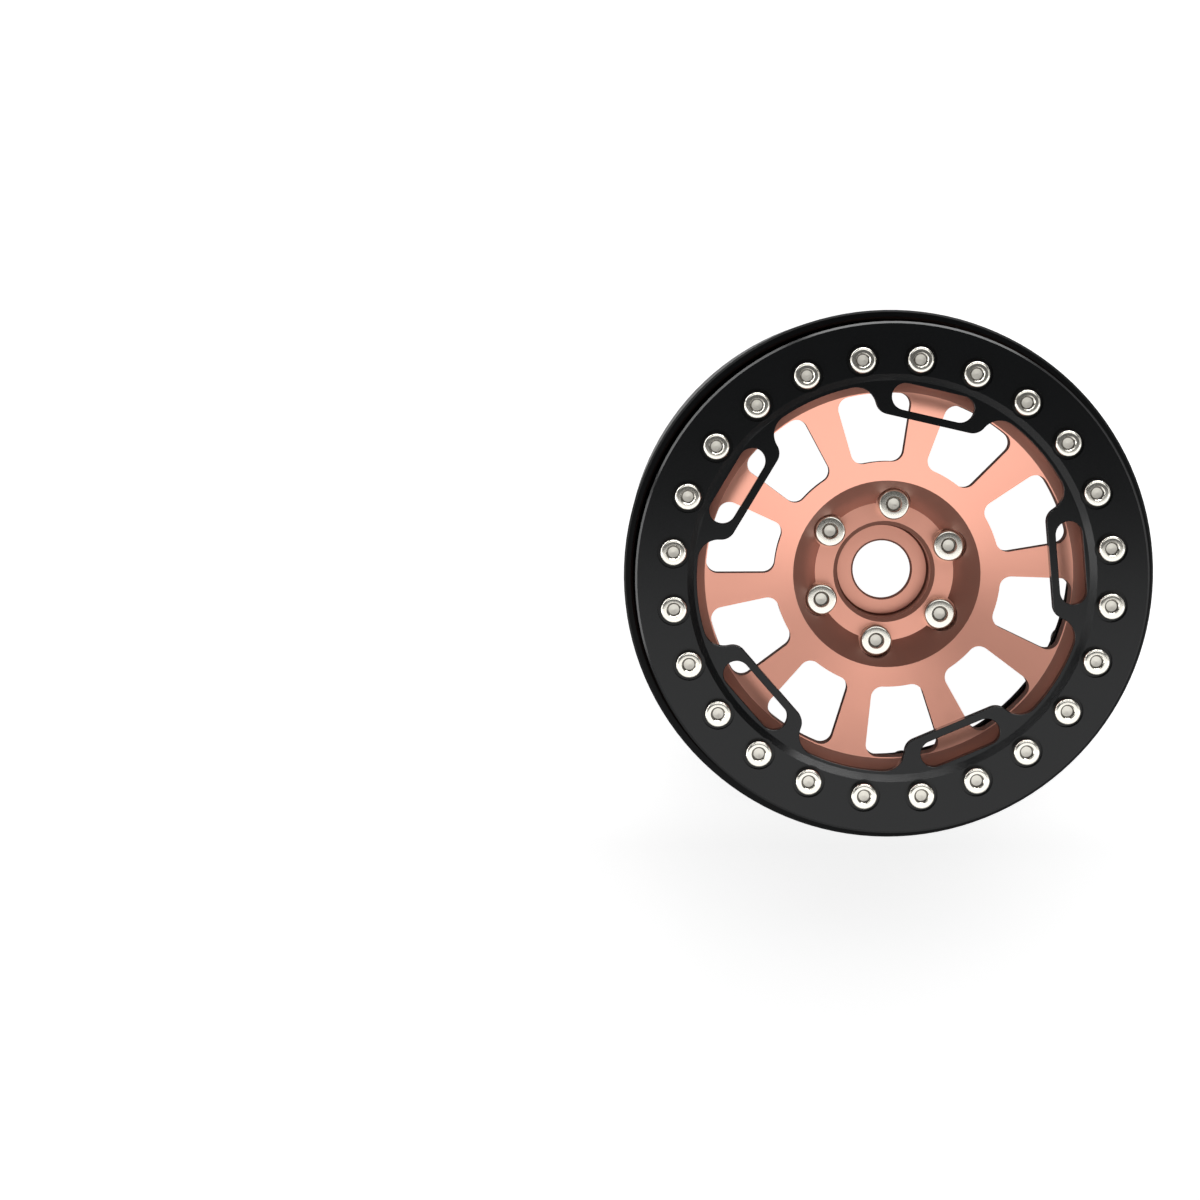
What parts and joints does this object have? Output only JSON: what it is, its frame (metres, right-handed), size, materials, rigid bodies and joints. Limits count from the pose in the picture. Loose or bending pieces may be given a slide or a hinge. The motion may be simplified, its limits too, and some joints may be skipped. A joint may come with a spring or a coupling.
{
  "type": "beadlock wheel",
  "caption": "Beadlock wheel for a crawler tyre: looped clamp ring over a dished spoked centre in a thin barrel, driven by a hex at the hub.",
  "frame": {"origin": "centre of the rear rim's plane, on the axle's line", "axes": "+Z along the axle, out of the wheel's front face; +Y through the middle of one loop of the ring"},
  "size_m": [0.066, 0.066, 0.037],
  "materials": {
    "black_ring": "satin black anodised",
    "black_barrel": "satin black anodised",
    "copper_anodise": "satin copper anodised, turned",
    "copper_nose": "satin copper anodised",
    "nickel": "bright nickel plated"
  },
  "bodies": {
    "root": {"front_ring": "black_ring", "wheel_centre": "copper_anodise", "barrel": "black_barrel", "hub_adapter": "copper_nose", "ring_screws": "nickel", "hub_screws": "nickel", "barrel_screws": "nickel"}
  },
  "joints": []
}
